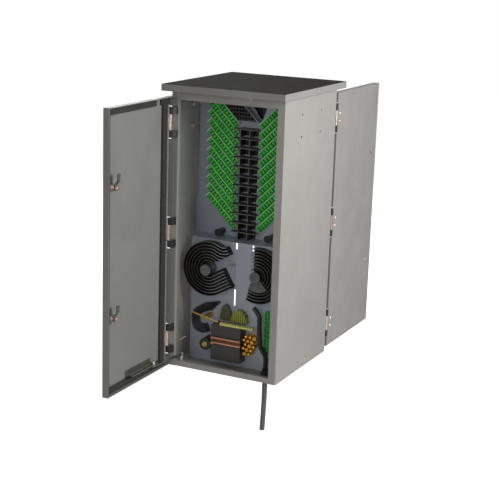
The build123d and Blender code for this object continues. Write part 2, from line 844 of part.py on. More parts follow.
# Left spool: the channels leave along a straight run below, and by an S-curve above
wall_radii = [spool_inner_wall + step * spool_wall_pitch for step in range(spool_walls)]
outer_radius = wall_radii[-1] + spool_wall / 2
left_plane = front_plane(-spool_spacing / 2, panel_front, spool_height)
right_plane = front_plane(spool_spacing / 2, panel_front, spool_height)
run_x = cos(radians(run_angle))
run_z = sin(radians(run_angle))
exit_x = exit_radius * cos(radians(exit_angle))
exit_z = exit_radius * sin(radians(exit_angle))
band_width = free_band[1] - free_band[0]
band_middle = sum(free_band) / 2
band_x = free_band_reach / 2 * run_x - band_middle * run_z
band_z = free_band_reach / 2 * run_z + band_middle * run_x


def run_point(radius, length):
    """A point of the straight run that leaves the wall of this radius."""
    return (radius * run_z + length * run_x, -radius * run_x + length * run_z)


def clear_free_band():
    """Cut away the band between the hub and the free end, the exit side and the hub hole."""
    with Locations((band_x, band_z)):
        Rectangle(free_band_reach, band_width, rotation=run_angle, mode=Mode.SUBTRACT)
    with Locations((exit_limit, 0)):
        Rectangle(exit_limit, 4 * outer_radius, align=(Align.MIN, Align.CENTER), mode=Mode.SUBTRACT)


with BuildPart() as spool_left:
    with BuildSketch(left_plane) as left_base:
        Circle(outer_radius)
        with BuildLine():
            Polyline(
                (0, 0),
                run_point(outer_radius, 0),
                run_point(outer_radius, run_length),
                run_point(0, run_length),
                close=True,
            )
        make_face()
        with BuildLine():
            inner_bow = exit_radius - wall_radii[0]
            outer_bow = exit_radius - wall_radii[-1]
            far_bow = CenterArc((exit_x, exit_z), outer_bow, exit_angle + 180, exit_turn)
            near_bow = CenterArc((exit_x, exit_z), inner_bow, exit_angle + 180, exit_turn)
            Line(far_bow @ 0, near_bow @ 0)
            Line(far_bow @ 1, near_bow @ 1)
        make_face()
        clear_free_band()
        Circle(hub_radius + hub_gap, mode=Mode.SUBTRACT)
    extrude(amount=spool_base)
    with BuildSketch(left_plane.offset(spool_base)) as left_walls:
        arc_sweep = run_angle + 270 - exit_angle
        for radius in wall_radii:
            with BuildLine() as channel_wall:
                Line(run_point(radius, run_length), run_point(radius, 0))
                CenterArc((0, 0), radius, run_angle - 90, -arc_sweep)
                CenterArc((exit_x, exit_z), exit_radius - radius, exit_angle + 180, exit_turn)
            trace(line_width=spool_wall)
        clear_free_band()
    extrude(amount=spool_channel_depth)
save(spool_left, "spool_left")


def clear_fan_side():
    """Cut away the side towards the middle, where the channels open."""
    Polygon(
        (finger_edge, 2 * outer_radius),
        (finger_edge, fan_edge[0][1]),
        fan_edge[0],
        fan_edge[1],
        (-2 * outer_radius, fan_edge[1][1]),
        (-2 * outer_radius, 2 * outer_radius),
        align=None,
        mode=Mode.SUBTRACT,
    )


# Right spool: the channels end in fingers above, and turn round to the lower left
with BuildPart() as spool_right:
    with BuildSketch(right_plane) as right_base:
        Circle(outer_radius)
        Circle(hub_radius + hub_gap, mode=Mode.SUBTRACT)
        clear_fan_side()
    extrude(amount=spool_base)
    with BuildSketch(right_plane.offset(spool_base)) as right_walls:
        for radius in reversed(wall_radii):
            Circle(radius + spool_wall / 2)
            Circle(radius - spool_wall / 2, mode=Mode.SUBTRACT)
        with BuildLine():
            stop_arc = CenterArc(
                (0, 0),
                inner_stop_radius,
                inner_stop_angles[0],
                inner_stop_angles[1] - inner_stop_angles[0],
            )
            Line((0, 0), stop_arc @ 0)
            Line((0, 0), stop_arc @ 1)
        make_face(mode=Mode.SUBTRACT)
        clear_fan_side()
    extrude(amount=spool_channel_depth)
save(spool_right, "spool_right")

with BuildPart() as spool_hubs:
    with BuildSketch(front_plane(0, panel_front, spool_height)) as hub_section:
        with GridLocations(spool_spacing, 1, 2, 1):
            Circle(hub_radius)
    extrude(amount=panel_front - hub_front)
    fillet(spool_hubs.faces().sort_by(Axis.Y)[:2].edges(), radius=1.0)
    with BuildSketch(right_plane.offset(spool_base)) as sector:
        with BuildLine():
            sector_arc = CenterArc(
                (0, 0),
                inner_stop_radius - hub_gap,
                inner_stop_angles[0] - 1,
                inner_stop_angles[1] - inner_stop_angles[0] + 2,
            )
            Line((0, 0), sector_arc @ 0)
            Line((0, 0), sector_arc @ 1)
        make_face()
    extrude(amount=spool_channel_depth - 1)
save(spool_hubs, "spool_hubs")

with BuildPart() as radius_pegs:
    with BuildSketch(front_plane(0, bulkhead_front, peg_height)) as peg_section:
        with GridLocations(peg_spacing, 1, 2, 1):
            Circle(peg_radius - peg_lip)
    extrude(amount=bulkhead_front - peg_front)
    with BuildSketch(front_plane(0, peg_front + peg_lip, peg_height)) as peg_lip_section:
        with GridLocations(peg_spacing, 1, 2, 1):
            Circle(peg_radius)
    extrude(amount=peg_lip)
save(radius_pegs, "radius_pegs")

# Grounding box on the spool panel, with its copper bar and terminals
with BuildPart() as grounding_box:
    box_middle_x = box_corner[0] + box_size[0] / 2
    box_middle_z = box_corner[1] + box_size[2] / 2
    box_front = panel_front - box_size[1]
    with BuildSketch(front_plane(box_middle_x, panel_front, box_middle_z)) as box_outline:
        RectangleRounded(box_size[0], box_size[2], box_edge_radius)
    extrude(amount=box_size[1])
save(grounding_box, "grounding_box")

with BuildPart() as ground_bar:
    bar_back = box_front - bar_post_length
    with BuildSketch(front_plane(bar_centre[0], box_front, bar_centre[1])) as bar_posts:
        with GridLocations(bar_post_spacing, 1, 2, 1):
            Circle(bar_post_radius)
    extrude(amount=bar_post_length)
    with BuildSketch(front_plane(bar_centre[0], bar_back, bar_centre[1])) as bar_outline:
        Rectangle(bar_size[0], bar_size[2])
        with GridLocations(bar_size[0] / bar_hole_count, 1, bar_hole_count, 1):
            Circle(bar_hole_radius, mode=Mode.SUBTRACT)
    extrude(amount=bar_size[1])
    bar_end_x = bar_centre[0] - (bar_size[0] + bar_end_size[0]) / 2
    with BuildSketch(front_plane(bar_end_x, bar_back, bar_centre[1])) as bar_end:
        Rectangle(bar_end_size[0], bar_end_size[2])
    extrude(amount=bar_end_size[1])
save(ground_bar, "ground_bar")

with BuildPart() as ground_lugs:
    with BuildSketch(front_plane(0, panel_front, 0)) as lug_section:
        for number in range(lug_count):
            share = number / (lug_count - 1)
            lug_x = lug_first[0] + share * (lug_last[0] - lug_first[0])
            lug_z = lug_first[1] + share * (lug_last[1] - lug_first[1])
            with Locations((lug_x, lug_z)):
                RegularPolygon(lug_radius, 6)
    extrude(amount=lug_length)
save(ground_lugs, "ground_lugs")

# Round cable clamp, and the rod clamp above it
with BuildPart() as clamp_gland:
    with BuildSketch(front_plane(gland_centre[0], panel_front, gland_centre[1])) as gland_section:
        Circle(gland_radius)
        Circle(gland_core_radius, mode=Mode.SUBTRACT)
    extrude(amount=panel_front - gland_front)
    chamfer(clamp_gland.faces().sort_by(Axis.Y)[0].edges().sort_by(SortBy.LENGTH)[-1], length=2.0)
save(clamp_gland, "clamp_gland")

with BuildPart() as clamp_core:
    with BuildSketch(front_plane(gland_centre[0], panel_front, gland_centre[1])) as core_section:
        Circle(gland_core_radius)
    extrude(amount=panel_front - gland_front + gland_core_reach)
    fillet(clamp_core.faces().sort_by(Axis.Y)[0].edges(), radius=2.0)
save(clamp_core, "clamp_core")

with BuildPart() as cable_clamp:
    rod_rise = rod_end[1] - rod_start[1]
    rod_run = rod_end[0] - rod_start[0]
    rod_length = hypot(rod_run, rod_rise)
    rod_plane = Plane(
        origin=(rod_start[0], rod_front, rod_start[1]),
        x_dir=(0, 1, 0),
        z_dir=(rod_run / rod_length, 0, rod_rise / rod_length),
    )
    with BuildSketch(rod_plane) as rod_section:
        Circle(rod_radius)
    extrude(amount=rod_length)
    clamp_plane = front_plane(clamp_block_centre[0], panel_front, clamp_block_centre[1])
    with BuildSketch(clamp_plane) as clamp_section:
        RectangleRounded(*clamp_block_size, box_edge_radius)
    extrude(amount=panel_front - rod_front + rod_radius + 2)
save(cable_clamp, "cable_clamp")

# Fibre comb on the box, the fan cover behind it and the slack cover beside that
box_top = box_corner[1] + box_size[2]
comb_middle = (comb_span[0] + comb_span[1]) / 2
comb_length = comb_span[1] - comb_span[0]
with BuildPart() as fibre_comb:
    with BuildSketch(Plane.XY.offset(box_top)) as comb_section:
        with Locations((comb_middle, box_front)):
            Rectangle(comb_length, comb_thickness, align=(Align.CENTER, Align.MIN))
    extrude(amount=comb_height)
    with BuildSketch(Plane.XY.offset(box_top + comb_height)) as comb_tooth_section:
        with Locations((comb_middle, box_front + comb_thickness / 2)):
            with GridLocations(comb_length / comb_teeth, 1, comb_teeth, 1):
                Rectangle(comb_tooth_width, comb_thickness)
    extrude(amount=comb_tooth_height)
save(fibre_comb, "fibre_comb")


def half_oval(half_width, height, plane, thickness):
    """A cover whose outline is the upper half of an oval standing on a flat foot."""
    with BuildPart() as cover:
        with BuildSketch(plane):
            Ellipse(half_width, height)
            with Locations((0, 0)):
                Rectangle(2 * half_width, height, align=(Align.CENTER, Align.MAX), mode=Mode.SUBTRACT)
        extrude(amount=thickness)
        fillet(cover.faces().sort_by(Axis.Y)[0].edges(), radius=cover_rounding)
    return cover


fan_plane = front_plane(fan_centre_x, panel_front, fan_bottom)
save(half_oval(fan_half_width, fan_height, fan_plane, fan_thickness), "fanout_cover")
slack_plane = front_plane(slack_centre_x, panel_front, fan_bottom)
save(half_oval(slack_half_width, slack_height, slack_plane, slack_thickness), "slack_cover")

# Upright strip of adapters by the right stile
with BuildPart() as side_adapter_strip:
    strip_plane = front_plane(strip_centre[0], panel_front, strip_centre[1])
    with BuildSketch(strip_plane) as strip_outline:
        Rectangle(strip_width, strip_cells * strip_pitch)
    extrude(amount=strip_base)
    with BuildSketch(strip_plane.offset(strip_base)) as strip_bodies:
        with GridLocations(1, strip_pitch, 1, strip_cells):
            Rectangle(strip_width - strip_cell_gap, strip_pitch - strip_cell_gap)
    extrude(amount=strip_cell_reach)
save(side_adapter_strip, "side_adapter_strip")


def tube(route, route_radii, radius, name):
    """A round tube of straight runs joined by tangent arcs."""
    with BuildPart() as piece:
        with BuildLine() as path:
            FilletPolyline(*route, radius=route_radii)
        with BuildSketch(Plane(origin=path.line @ 0, z_dir=path.line % 0)):
            Circle(radius)
        sweep()
    save(piece, name)
    length = sum(edge.length for edge in path.edges())
    print(name, "length", round(length, 1), "arc radii", route_radii)
    print(name, "volume over section times length", round(piece.part.volume / (pi * radius**2 * length), 4))


tube(sleeve_route, sleeve_radii, sleeve_radius, "entry_sleeve")
tube(loop_route, loop_radii, loop_radius, "cable_loop")

# Rear equipment: a shelf with splitter modules, and a stack of splice trays
splitter_front = bulkhead_back + adapter_rear_reach + splitter_clear_of_rows
with BuildPart() as splitter_shelf:
    with BuildSketch(Plane.XZ.offset(-splitter_front - shelf_depth)) as shelf_section:
        with BuildLine():
            FilletPolyline(
                (-inner_half, shelf_top - shelf_flange),
                (-inner_half, shelf_top),
                (inner_half, shelf_top),
                (inner_half, shelf_top - shelf_flange),
                radius=bend,
            )
            offset(amount=sheet, side=Side.RIGHT)
        make_face()
    extrude(amount=shelf_depth)
save(splitter_shelf, "splitter_shelf")

with BuildPart() as splitter_modules:
    with BuildSketch(Plane.XY.offset(shelf_top)) as splitter_section:
        with Locations((0, splitter_front + shelf_depth / 2)):
            with GridLocations(splitter_pitch, 1, splitter_count, 1):
                Rectangle(splitter_size[0], splitter_size[1])
    extrude(amount=splitter_size[2])
save(splitter_modules, "splitter_modules")

with BuildPart() as splice_trays:
    panel_back = panel_front + sheet
    tray_plane = Plane(
        origin=(tray_corner[0] + tray_size[0] / 2, panel_back, tray_corner[1] + tray_size[2] / 2),
        x_dir=(1, 0, 0),
        z_dir=(0, -1, 0),
    )
    for number in range(tray_count):
        tray_front = -(number + 1) * tray_pitch
        with BuildSketch(tray_plane.offset(tray_front - tray_size[1])) as tray_outline:
            RectangleRounded(tray_size[0], tray_size[2], tray_corner_radius)
        extrude(amount=tray_size[1])
        with BuildSketch(tray_plane.offset(tray_front - tray_size[1])) as tray_hollow:
            hollow_width = tray_size[0] - 2 * tray_wall
            hollow_height = tray_size[2] - 2 * tray_wall
            RectangleRounded(hollow_width, hollow_height, tray_corner_radius - tray_wall)
            Rectangle(tray_spine[0] + 2 * tray_wall, tray_spine[1] + 2 * tray_wall, mode=Mode.SUBTRACT)
        extrude(amount=tray_size[1] - tray_wall, mode=Mode.SUBTRACT)
    with BuildSketch(tray_plane) as spine_section:
        Rectangle(*tray_spine)
    extrude(amount=-tray_count * tray_pitch)
save(splice_trays, "splice_trays")

# Entry gland in the base: neck and upper nut inside, lower nut and collar below
with BuildPart() as cable_entry_gland:
    with BuildSketch(Plane.XY.offset(-entry_lower_length)) as gland_neck:
        with Locations(cable_place):
            Circle(entry_hole_radius)
    extrude(amount=entry_lower_length + sheet + entry_neck_height)
    for nut_bottom in (-entry_nut_height, sheet):
        with BuildSketch(Plane.XY.offset(nut_bottom)) as gland_nut:
            with Locations(cable_place):
                RegularPolygon(entry_nut_across / 2, 6, major_radius=False)
        extrude(amount=entry_nut_height)
    with BuildSketch(Plane.XY.offset(-entry_lower_length)) as gland_bore:
        with Locations(cable_place):
            Circle(cable_radius)
    extrude(amount=entry_lower_length + sheet + entry_neck_height, mode=Mode.SUBTRACT)
save(cable_entry_gland, "cable_entry_gland")

tube(cable_route, cable_radii, cable_radius, "cable_stub")

# What the motions need: where the closed door leaves the stay's bolt
closed_along = sqrt(arm_length**2 - (stud_y - hinge_y - stay_slot_inward) ** 2)
closed_along += stud_x - hinge_x
closed_angle = degrees(atan2(hinge_y + stay_slot_inward - stud_y, hinge_x + closed_along - stud_x))
print("stay arm length", round(arm_length, 3), "turns", round(closed_angle - arm_angle, 3))
print("stay bolt slides", round(closed_along - stay_pin_start, 3))
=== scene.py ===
import math

import bpy
from mathutils import Matrix, Vector


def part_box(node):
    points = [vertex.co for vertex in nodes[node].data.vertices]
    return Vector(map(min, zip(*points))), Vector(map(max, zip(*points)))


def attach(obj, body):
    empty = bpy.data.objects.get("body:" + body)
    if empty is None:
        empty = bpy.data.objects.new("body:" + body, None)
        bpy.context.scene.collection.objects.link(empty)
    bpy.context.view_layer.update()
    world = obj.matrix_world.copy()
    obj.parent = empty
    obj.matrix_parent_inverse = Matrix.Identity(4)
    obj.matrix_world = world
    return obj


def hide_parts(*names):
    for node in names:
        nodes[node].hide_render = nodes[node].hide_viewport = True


# Looks of the fibre distribution hub cabinet, in metres, in the CAD part's frame.
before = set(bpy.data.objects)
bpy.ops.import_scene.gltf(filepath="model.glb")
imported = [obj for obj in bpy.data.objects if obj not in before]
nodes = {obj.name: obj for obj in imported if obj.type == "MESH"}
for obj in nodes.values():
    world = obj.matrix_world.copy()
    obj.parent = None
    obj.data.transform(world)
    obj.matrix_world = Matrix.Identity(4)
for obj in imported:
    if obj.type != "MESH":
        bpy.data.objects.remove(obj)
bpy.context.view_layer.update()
scene = bpy.context.scene

# Camera, solved from the photograph
camera_place = Vector((1.8637, -3.8654, 1.4699))
camera_azimuth = math.radians(25.80)
camera_elevation = math.radians(13.96)
camera_roll = math.radians(1.90)
camera_lens = 89.23
camera_sensor = 36.0
camera_reach = 100

# Cable stub, on the CAD part's route
cable_route = (
    (0.136, -0.137, -0.013),
    (0.136, -0.137, -0.076),
    (0.1345, -0.137, -0.138),
    (0.1315, -0.137, -0.205),
)
cable_diameter = 0.0184

# Adapter rows, with the mouth and dust plug of each adapter
bulkhead_front = -0.035
adapter_front = bulkhead_front - 0.014
flange_front = bulkhead_front - 0.0032
adapters_per_row = 12
adapter_pitch = 0.01275
row_length = adapters_per_row * adapter_pitch
rows_per_side = 12
row_rise = 0.033
row_flange_width = 0.0228
row_inner_corner = (0.0375, 0.860)
slope = math.sqrt(0.5)
mouth_outer = (0.0098, 0.0160)
mouth_inner = (0.0078, 0.0124)
mouth_depth = 0.0012
plug_half = (0.0036, 0.0058, 0.0008)
end_cap_half = (0.0016, 0.0112, 0.0052)
end_cap_overhang = 0.0010
end_cap_setback = 0.004
rail_half = (row_length / 2, 0.0018, 0.0052)
rail_offset = 0.0099
rail_setback = 0.0050

# Upright adapter strip
strip_cells = 10
strip_port_shift = 0.0049
strip_mouth_outer = (0.0112, 0.0086)
strip_mouth_inner = (0.0088, 0.0062)
strip_mouth_depth = 0.0010
strip_shade_half = (0.0043, 0.0030, 0.0002)

# Splitter modules
splitter_modules = 6
splitter_ports = 8
splitter_width = 0.022
splitter_margin = 0.012
splitter_mouth_outer = (0.0130, 0.0105)
splitter_mouth_inner = (0.0100, 0.0078)
splitter_mouth_depth = 0.0016
splitter_shade_half = (0.0049, 0.0038, 0.0002)

# Fasteners; a profile lists radius and distance along the axis
door_outside = 0.2115
hinge_heights = (0.1035, 0.4865, 0.8695)
hinge_screw_along = 0.2586
hinge_screw_rise = 0.014
hinge_screw_radius = 0.0055
screw_head_height = 0.0024
latch_along = 0.5965
latch_heights = (0.2705, 0.7025)
latch_face = 0.2140
key_stud_profile = ((0.0034, 0), (0.0034, 0.0016), (0.0026, 0.0022))
bulkhead_screws = ((-0.197, 0.845), (-0.197, 0.916), (0.197, 0.845), (0.197, 0.916), (0.007, 0.911))
bulkhead_screw_radius = 0.0050
rivet_places = (-0.138, -0.1215, -0.105)
rivet_height = 0.0695
rivet_x = -0.2081
rivet_axis = (0, 1, 0.02)
rivet_profile = ((0.0010, 0), (0.0022, 0.0010), (0.0022, 0.0110), (0.0010, 0.012))
small_lugs = (
    (0.0545, 0.088), (0.062, 0.103), (0.072, 0.116), (0.080, 0.131), (0.064, 0.131),
    (0.056, 0.118), (0.076, 0.068), (0.084, 0.082), (0.094, 0.097),
)
small_lug_profile = (
    (0.0052, 0), (0.0052, 0.030), (0.0062, 0.031), (0.0062, 0.036), (0.0048, 0.0385), (0.0022, 0.0395),
)

# Strands inside the cable loop, each a share of the loop's size
loop_route = (
    (-0.057, 0.230), (-0.115, 0.216), (-0.168, 0.180),
    (-0.160, 0.116), (-0.122, 0.110), (-0.095, 0.122),
)
loop_middle = (-0.112, 0.168)
loop_depth = -0.1214
strand_shares = (0.84, 0.68, 0.52)
strand_radius = 0.0036

# Places where one node's colour changes
spool_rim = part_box("spool_left")[0][1]
guide_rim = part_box("jumper_guides")[0][1] + 0.006
hub_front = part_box("spool_hubs")[0][1]
sector_front = spool_rim + 0.001
bar_low, bar_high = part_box("ground_bar")
bar_middle = (bar_low[2] + bar_high[2]) / 2
bar_core_half = 0.0065
left_hub = Vector((-0.096, 0.0, 0.352))
run_direction = Vector((0.866, 0.0, 0.5))
run_length = 0.054
run_top = left_hub.z + 0.032

# Colours that more than one finish uses
wall_colour = (0.34, 0.333, 0.312)
door_inside_colour = (0.235, 0.233, 0.222)
rear_door_colour = (0.32, 0.313, 0.295)
rim_colour = (0.075, 0.068, 0.058)
# Pale rim colour: partly wear, partly a painted highlight.
rim_wear_and_highlight_colour = (0.42, 0.42, 0.42)
copper_colour = (0.80, 0.42, 0.28)

# Light, and the floor that it falls on; lamps have a place, an aim, a size and a power
lamps = (
    ("key", (1.7, -0.35, 1.25), (0.2, 0, 0.6), 0.9, 30),
    ("front", (0.3, -4.0, 1.4), (0, 0, 0.5), 2.0, 20),
    ("rear", (-2.6, 3.2, 1.6), (0, 0, 0.5), 2.2, 70),
)
world_light = 0.20
floor_glow = 0.84
floor_level = -0.212
floor_half = 14.0
floor_colour = (0.80, 0.80, 0.80)


def place_camera():
    """The camera looks along the photograph's line of sight, with its slight roll."""
    forward = Vector((
        -math.sin(camera_azimuth) * math.cos(camera_elevation),
        math.cos(camera_azimuth) * math.cos(camera_elevation),
        -math.sin(camera_elevation),
    ))
    level_right = forward.cross(Vector((0, 0, 1))).normalized()
    level_up = level_right.cross(forward)
    right = math.cos(camera_roll) * level_right + math.sin(camera_roll) * level_up
    up = math.cos(camera_roll) * level_up - math.sin(camera_roll) * level_right
    data = bpy.data.cameras.new("camera")
    data.sensor_width = camera_sensor
    data.lens = camera_lens
    data.clip_end = camera_reach
    camera = bpy.data.objects.new("camera", data)
    turn = Matrix((right, up, -forward)).transposed().to_4x4()
    camera.matrix_world = Matrix.Translation(camera_place) @ turn
    scene.collection.objects.link(camera)
    scene.camera = camera


# Shader node helpers
def link(tree, source, target):
    tree.links.new(source, target)


def new_material(name, roughness, metallic=0.0, specular=0.5):
    material = bpy.data.materials.new(name)
    material.use_nodes = True
    tree = material.node_tree
    shader = tree.nodes["Principled BSDF"]
    shader.inputs["Roughness"].default_value = roughness
    shader.inputs["Metallic"].default_value = metallic
    shader.inputs["Specular IOR Level"].default_value = specular
    return material, tree, shader


def compute(tree, operation, *values):
    """One math node on the given sockets."""
    step = tree.nodes.new("ShaderNodeMath")
    step.operation = operation
    for socket, value in zip(step.inputs, values):
        link(tree, value, socket)
    return step.outputs[0]


def axis_value(tree, axis):
    """One object coordinate of the shaded point."""
    coordinates = tree.nodes.new("ShaderNodeTexCoord")
    split = tree.nodes.new("ShaderNodeSeparateXYZ")
    link(tree, coordinates.outputs["Object"], split.inputs["Vector"])
    return split.outputs[axis]


def noise(tree, scale, detail, stretch=(1, 1, 1)):
    """Noise on object coordinates, stretched where the grain runs one way."""
    coordinates = tree.nodes.new("ShaderNodeTexCoord")
    mapping = tree.nodes.new("ShaderNodeMapping")
    mapping.inputs["Scale"].default_value = stretch
    link(tree, coordinates.outputs["Object"], mapping.inputs["Vector"])
    texture = tree.nodes.new("ShaderNodeTexNoise")
    texture.inputs["Scale"].default_value = scale
    texture.inputs["Detail"].default_value = detail
    link(tree, mapping.outputs["Vector"], texture.inputs["Vector"])
    return texture.outputs["Fac"]


def span(tree, value, low, high, out_low=0.0, out_high=1.0):
    """Carry a value's range over to another one, with the ends held."""
    remap = tree.nodes.new("ShaderNodeMapRange")
    remap.inputs["From Min"].default_value = low
    remap.inputs["From Max"].default_value = high
    remap.inputs["To Min"].default_value = out_low
    remap.inputs["To Max"].default_value = out_high
    link(tree, value, remap.inputs["Value"])
    return remap.outputs["Result"]


def lower_than(tree, axis, limit, fade, strength=1.0):
    """Full up to this coordinate, and falling to zero over the fade beyond it."""
    return span(tree, axis_value(tree, axis), limit + fade, limit, 0, strength)


def higher_than(tree, axis, limit, fade):
    """One from this coordinate on, rising from zero over the fade before it."""
    return span(tree, axis_value(tree, axis), limit - fade, limit)


def clouds(tree, scale, detail):
    """Soft patches between zero and one."""
    return span(tree, noise(tree, scale, detail), 0.35, 0.65)


def blend(tree, factor, first, second):
    """Colour between two, each a tuple or a socket."""
    mix = tree.nodes.new("ShaderNodeMix")
    mix.data_type = "RGBA"
    link(tree, factor, mix.inputs["Factor"])
    for socket, colour in ((mix.inputs[6], first), (mix.inputs[7], second)):
        if isinstance(colour, tuple):
            socket.default_value = (*colour, 1)
        else:
            link(tree, colour, socket)
    return mix.outputs[2]


def shade(colour, factor):
    return tuple(min(1.0, channel * factor) for channel in colour)


def mottled(tree, patches, colour, spread):
    """A colour that is a little darker and lighter in patches."""
    return blend(tree, patches, shade(colour, 1 - spread), shade(colour, 1 + spread))


def edge_mask(tree, radius):
    """Bright where the surface turns, from how far the rounded normal leans, and that normal."""
    no_lean = 0.98
    full_lean = 0.65
    rounded = tree.nodes.new("ShaderNodeBevel")
    rounded.samples = 4
    rounded.inputs["Radius"].default_value = radius
    geometry = tree.nodes.new("ShaderNodeNewGeometry")
    lean = tree.nodes.new("ShaderNodeVectorMath")
    lean.operation = "DOT_PRODUCT"
    link(tree, rounded.outputs["Normal"], lean.inputs[0])
    link(tree, geometry.outputs["True Normal"], lean.inputs[1])
    return span(tree, lean.outputs["Value"], no_lean, full_lean), rounded.outputs["Normal"]


def relief(tree, shader, height, strength, distance, normal=None):
    bump = tree.nodes.new("ShaderNodeBump")
    bump.inputs["Strength"].default_value = strength
    bump.inputs["Distance"].default_value = distance
    link(tree, height, bump.inputs["Height"])
    if normal is not None:
        link(tree, normal, bump.inputs["Normal"])
    link(tree, bump.outputs["Normal"], shader.inputs["Normal"])


# Kinds of finish; a scale is a number of repeats per metre
def coated(name, colour, roughness, wear=0.25, metallic=0.0, specular=0.5):
    """Powder coat: faint clouds in the colour, orange peel and lighter rubbed edges."""
    cloud_scale = 7
    gloss_scale = 21
    wear_scale = 60
    speck_scale = 630
    peel_scale = 900
    peel_height = 0.0004
    edge_radius = 0.0012
    gloss_change = 0.06
    material, tree, shader = new_material(name, roughness, metallic, specular)
    body = mottled(tree, clouds(tree, cloud_scale, 5), colour, 0.045)
    specks = span(tree, noise(tree, speck_scale, 2), 0.62, 0.74)
    body = blend(tree, specks, body, shade(colour, 1.12))
    edges, rounded = edge_mask(tree, edge_radius)
    worn = span(tree, noise(tree, wear_scale, 3), 0.42, 0.62, 0.25 * wear, wear)
    body = blend(tree, compute(tree, "MULTIPLY", edges, worn), body, shade(colour, 1.7))
    link(tree, body, shader.inputs["Base Color"])
    gloss = noise(tree, gloss_scale, 4)
    rough = span(tree, gloss, 0.3, 0.7, roughness - gloss_change, roughness + gloss_change)
    link(tree, rough, shader.inputs["Roughness"])
    relief(tree, shader, noise(tree, peel_scale, 2), 0.12, peel_height, rounded)
    return material


def brushed(name, colour, roughness, stretch=(1, 1, 30)):
    """Plated or drawn metal with fine lines one way, duller patches and edges brightened as a painted
    highlight.
    """
    line_scale = 260
    line_height = 0.0003
    patch_scale = 45
    edge_radius = 0.0006
    highlight_strength = 0.4
    material, tree, shader = new_material(name, roughness, metallic=0.9)
    lines = noise(tree, line_scale, 3, stretch)
    body = blend(tree, span(tree, lines, 0.35, 0.65), shade(colour, 0.86), shade(colour, 1.1))
    patches = span(tree, noise(tree, patch_scale, 4), 0.5, 0.72)
    body = blend(tree, patches, body, shade(colour, 0.72))
    edges, rounded = edge_mask(tree, edge_radius)
    # Painted highlight: the edges are brightened.
    body = blend(tree, span(tree, edges, 0, 1, 0, highlight_strength), body, shade(colour, 1.5))
    link(tree, body, shader.inputs["Base Color"])
    rough = span(tree, lines, 0.3, 0.7, roughness - 0.07, roughness + 0.09)
    link(tree, rough, shader.inputs["Roughness"])
    relief(tree, shader, lines, 0.08, line_height, rounded)
    return material


def moulded(name, colour, roughness, edge_highlight=1.8, grain_scale=1400, highlight_strength=0.5):
    """Moulded plastic: fine spark texture, soft clouds, and edges made paler as a painted highlight.
    """
    cloud_scale = 22
    gloss_scale = 90
    grain_height = 0.0002
    edge_radius = 0.0007
    material, tree, shader = new_material(name, roughness)
    body = mottled(tree, clouds(tree, cloud_scale, 4), colour, 0.1)
    edges, rounded = edge_mask(tree, edge_radius)
    # Painted highlight: the edges are made paler.
    body = blend(tree, span(tree, edges, 0, 1, 0, highlight_strength), body, shade(colour, edge_highlight))
    link(tree, body, shader.inputs["Base Color"])
    gloss = noise(tree, gloss_scale, 3)
    rough = span(tree, gloss, 0.3, 0.7, roughness - 0.06, roughness + 0.08)
    link(tree, rough, shader.inputs["Roughness"])
    relief(tree, shader, noise(tree, grain_scale, 2), 0.15, grain_height, rounded)
    return material


def recolour(material, factor_of, colour):
    """Blend the base colour towards another one by a factor made for the tree."""
    tree = material.node_tree
    shader = tree.nodes["Principled BSDF"]
    base = shader.inputs["Base Color"].links[0].from_socket
    second = mottled(tree, clouds(tree, 9, 4), colour, 0.045)
    link(tree, blend(tree, factor_of(tree), base, second), shader.inputs["Base Color"])
    return material


def ribbed(material, axis, ribs_per_metre, distance):
    """Corrugate a material across one axis."""
    tree = material.node_tree
    shader = tree.nodes["Principled BSDF"]
    relief(tree, shader, stripes(axis, ribs_per_metre, 1.0)(tree), 1.0, distance)
    return material


# Factors for recolour: each is one where the second colour goes
def sky_facing_painted_shade(tree):
    """Painted shade: surfaces that face the sky, darkened as little light falls on them from above."""
    geometry = tree.nodes.new("ShaderNodeNewGeometry")
    split = tree.nodes.new("ShaderNodeSeparateXYZ")
    link(tree, geometry.outputs["Normal"], split.inputs["Vector"])
    return span(tree, split.outputs["Z"], 0.5, 0.95)


def front_rim(rim, strength=1.0):
    """Faces that lie at this depth or further to the front."""
    def factor(tree):
        return lower_than(tree, "Y", rim + 0.0003, 0.0003, strength)
    return factor


def outer_skin(tree):
    """A door's outside, which is given a lighter grey than the door's inside."""
    across = compute(tree, "ABSOLUTE", axis_value(tree, "X"))
    return span(tree, across, door_outside - 0.0012, door_outside - 0.0008)


def left_side_painted_shade(tree):
    """Painted shade: the panels' left side, darkened where the front door's shade falls."""
    return span(tree, axis_value(tree, "X"), 0.12, -0.20, 0, 0.55)


def stripes(axis, stripes_per_metre, strength):
    """Fine even stripes across one axis."""
    def factor(tree):
        angle = span(tree, axis_value(tree, axis), 0, 1, 0, stripes_per_metre * math.tau)
        return span(tree, compute(tree, "SINE", angle), -0.2, 0.4, 0, strength)
    return factor


def rim_wear_and_highlight(tree):
    """Rims of the channel walls near the middle of the panel, made pale: partly wear from the fibres,
    partly a painted highlight.
    """
    across = compute(tree, "ABSOLUTE", axis_value(tree, "X"))
    near = span(tree, across, 0.115, 0.05, 0, 0.75)
    return compute(tree, "MULTIPLY", near, front_rim(spool_rim)(tree))


def past_the_run(tree):
    """The left spool's backing plate past its straight run, which is coated like the panel."""
    coordinates = tree.nodes.new("ShaderNodeTexCoord")
    along = tree.nodes.new("ShaderNodeVectorMath")
    along.operation = "DOT_PRODUCT"
    link(tree, coordinates.outputs["Object"], along.inputs[0])
    along.inputs[1].default_value = run_direction
    run_end = left_hub.dot(run_direction) + run_length
    past = span(tree, along.outputs["Value"], run_end + 0.0004, run_end + 0.0010)
    return compute(tree, "MULTIPLY", past, lower_than(tree, "Z", run_top, 0.004))


